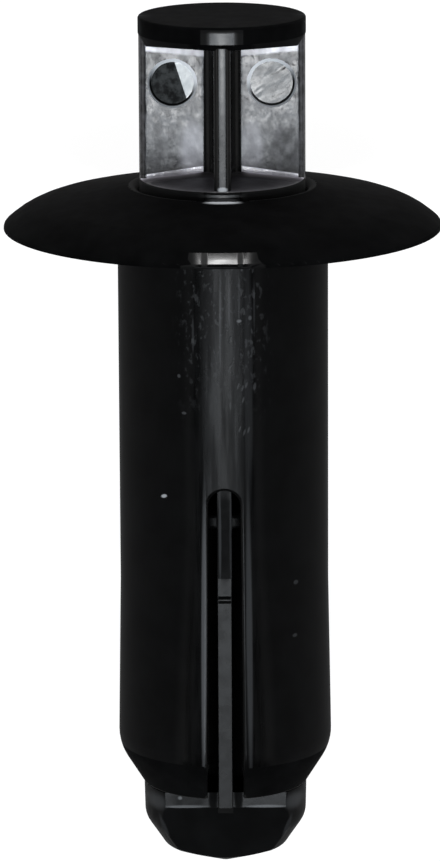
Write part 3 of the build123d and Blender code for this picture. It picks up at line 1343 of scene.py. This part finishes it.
    def on_print(self, facet: Facet) -> bool:
        """Whether a facet is on the flat floor of an ejector mark."""
        return self.in_mark(facet) and facet.facing.y < -SQUARELY

    def on_collar_side(self, facet: Facet) -> bool:
        """Whether a facet is on the collar's round side."""
        level = self.collar_foot < facet.place.z < self.collar_top + SLACK
        return level and facet.reach > self.pin_radius - self.collar_round

    def on_collar(self, facet: Facet) -> bool:
        """Whether a facet is on the collar's upper face, between the ribs."""
        level = self.collar_top - self.collar_drop < facet.place.z < self.collar_top + self.collar_rise
        return level and facet.facing.z > MOSTLY

    def on_rib_edge(self, facet: Facet) -> bool:
        """Whether a facet is on the outer edge of the front or rear grip rib."""
        outer = abs(facet.facing.y) > SQUARELY and abs(facet.place.y) > self.rib_front
        return outer and facet.place.z > self.collar_top

    def on_nose_flat(self, facet: Facet) -> bool:
        """Whether a facet is on one of the nose's upright flats."""
        outer = abs(facet.facing.y) > self.nose_square and abs(facet.place.y) > self.nose_front
        return outer and self.nose_edge < facet.place.z < self.nose_top

    def on_tip(self, facet: Facet) -> bool:
        """Whether a facet is on the nose, beside or below its flats."""
        return facet.place.z < self.nose_top

    def on_grip(self, facet: Facet) -> bool:
        """Tell the flat faces of the side grip ribs and the roundings at their ends.

        Args:
            facet: The facet.

        Returns:
            Whether it is on one of them.
        """
        flat = abs(facet.facing.y) > SLIGHTLY and abs(facet.place.y) < self.grip_face + self.grip_round
        level = self.collar_top < facet.place.z < self.cap_rim
        return flat and level and abs(facet.place.x) > self.grip_inner


@dataclass(frozen=True)
class Softbox:
    """A flat lamp that faces the rivet from one direction.

    Args:
        name: Name of the lamp.
        lower: Elevation of its lower edge above the rivet's front, in degrees.
        upper: Elevation of its upper edge.
        half_width: Half of its width as seen from the rivet, in degrees.
        radiance: How bright its face is, where 1 is white paper in plain light.
        bearing: Direction of its middle to the right of the front, in degrees.
        distance: Distance from the rivet in metres.
        warmth: Colour of the light.
    """

    name: str
    lower: float
    upper: float
    half_width: float
    radiance: float
    bearing: float = 0.0
    distance: float = 0.9
    warmth: Trio = (1.0, 1.0, 1.0)

    def hang(self, axes: RivetAxes) -> None:
        """Hang the lamp round the middle of the rivet.

        Args:
            axes: The rivet's upright axes.
        """
        lamp = bpy.data.lights.new(self.name, "AREA")
        lamp.shape = "RECTANGLE"
        lamp.size = 2 * self.distance * tan(radians(self.half_width))
        lamp.size_y = 2 * self.distance * tan(radians((self.upper - self.lower) / 2))
        lamp.energy = self.radiance * pi * lamp.size * lamp.size_y
        lamp.color = self.warmth
        holder = bpy.data.objects.new(self.name, lamp)
        bpy.context.scene.collection.objects.link(holder)
        away = axes.towards((self.lower + self.upper) / 2, self.bearing)
        across = axes.towards(0.0, self.bearing + 90.0)
        climb = away.cross(across)
        turned = Matrix((across, climb, away)).transposed()
        holder.matrix_world = Matrix.Translation(away * self.distance) @ turned.to_4x4()


@dataclass
class Studio:
    """Floor, lamps and sky.

    Args:
        axes: The rivet's upright axes.
        sky: How light the sky is.
        half_floor: Half of the floor's side in metres.
        paper: How light the floor is to the light that falls on it.
        glow: What the floor adds to look white.
        shadowed: How light the part of its look is that the rivet's shadow darkens.
        lamps: The lamps.
    """

    axes: RivetAxes
    sky: float = 0.12
    half_floor: float = 1.2
    paper: float = 0.8
    glow: float = 0.92
    shadowed: float = 0.15
    lamps: tuple[Softbox, ...] = (
        Softbox("broad_strip", -19.0, -6.0, 19.0, 15.0, warmth=(0.92, 0.98, 1.04)),
        Softbox("bright_core", -9.7, -5.0, 5.0, 27.0),
        Softbox("far_strip", 84.0, 94.0, 3.8, 75.0, -0.4),
        Softbox("far_left_strip", 84.0, 94.0, 0.9, 30.0, -6.5),
        Softbox("far_right_strip", 84.0, 94.0, 0.9, 25.0, 5.3),
        Softbox("far_glow", 84.0, 94.0, 10.5, 2.0),
        Softbox("left_wing", -40.0, 16.0, 16.0, 2.2, -60.0),
        Softbox("right_wing", -40.0, 16.0, 16.0, 2.2, 60.0),
    )

    def build(self) -> None:
        """Lay the floor, hang the lamps and set the sky."""
        self.lay_floor()
        for lamp in self.lamps:
            lamp.hang(self.axes)
        world = bpy.data.worlds.new("studio_sky")
        world.use_nodes = True
        world.node_tree.nodes["Background"].inputs[0].default_value = (self.sky, self.sky, self.sky, 1)
        bpy.context.scene.world = world
        LOG.info("studio: floor and %d lamps", len(self.lamps))

    def lay_floor(self) -> None:
        """Lay the floor at the level of the rivet's lowest point."""
        half, level = self.half_floor, CAD_BOX[0].z
        corners = [(-half, -half, level), (half, -half, level), (half, half, level), (-half, half, level)]
        mesh = bpy.data.meshes.new("floor")
        mesh.from_pydata(corners, [], [(0, 1, 2, 3)])
        floor = bpy.data.objects.new("floor", mesh)
        bpy.context.scene.collection.objects.link(floor)
        mesh.materials.append(self.floor_paper())

    def floor_paper(self) -> bpy.types.Material:
        """Build the floor's white paper, which looks white and keeps the rivet's shadow.

        Returns:
            The floor's material.
        """
        bench = Bench("floor_paper", self.axes)
        rays = bench.tree.nodes.new("ShaderNodeLightPath").outputs
        seen = bench.most(rays["Is Camera Ray"], rays["Is Glossy Ray"], rays["Is Transmission Ray"])
        paper = bench.node("ShaderNodeBsdfDiffuse", Color=(self.paper, self.paper, self.paper, 1))
        glow = bench.node("ShaderNodeEmission", Color=(1, 1, 1, 1), Strength=self.glow)
        shadow = bench.node("ShaderNodeBsdfDiffuse", Color=(self.shadowed, self.shadowed, self.shadowed, 1))
        white = bench.node("ShaderNodeAddShader")
        bench.feed(white.inputs[0], glow.outputs[0])
        bench.feed(white.inputs[1], shadow.outputs[0])
        mix = bench.node("ShaderNodeMixShader", Fac=seen)
        bench.feed(mix.inputs[1], paper.outputs[0])
        bench.feed(mix.inputs[2], white.outputs[0])
        return bench.finish(mix)


@dataclass(frozen=True)
class Viewpoint:
    """The camera, placed along the rivet's upright axes.

    Args:
        axes: The rivet's upright axes.
        aside: Distance to the right of the axis, in millimetres.
        away: Distance in front of the axis.
        height: Height above the underside of the flange.
        pitch: How far it looks down, in degrees.
        roll: How far it is turned about its line of sight.
        lens: Focal length in millimetres.
        sensor: Width of the picture at that focal length.
        nearest: Nearest distance that it sees, in metres.
    """

    axes: RivetAxes
    aside: float = -0.172
    away: float = 245.037
    height: float = 48.0
    pitch: float = 13.232
    roll: float = -0.30
    lens: float = 228.50
    sensor: float = 36.0
    nearest: float = 0.01

    def build(self) -> None:
        """Set up the camera."""
        camera = bpy.data.cameras.new("camera")
        camera.lens = self.lens
        camera.sensor_width = self.sensor
        camera.clip_start = self.nearest
        holder = bpy.data.objects.new("camera", camera)
        bpy.context.scene.collection.objects.link(holder)
        pitch, roll = radians(self.pitch), radians(self.roll)
        right = Vector((1, 0, 0))
        up = Vector((0, sin(pitch), cos(pitch)))
        behind = Vector((0, -cos(pitch), sin(pitch)))
        across, climb = cos(roll) * right + sin(roll) * up, cos(roll) * up - sin(roll) * right
        turned = self.axes.rotation @ Matrix((across, climb, behind)).transposed()
        place = Matrix.Translation(self.axes.point(self.aside, -self.away, self.height))
        holder.matrix_world = place @ turned.to_4x4()
        bpy.context.scene.camera = holder
        LOG.info("camera: %.0f mm away", self.away)


def main() -> None:
    """Build the looks of the rivet in order."""
    axes = RivetAxes.from_record(frame["record"])
    for piece in (Grommet(axes), DrivePin(axes), Studio(axes), Viewpoint(axes)):
        piece.build()
    bpy.context.scene.view_settings.view_transform = "Standard"


if __name__ == "__main__":
    logging.basicConfig(level=logging.INFO)
    main()
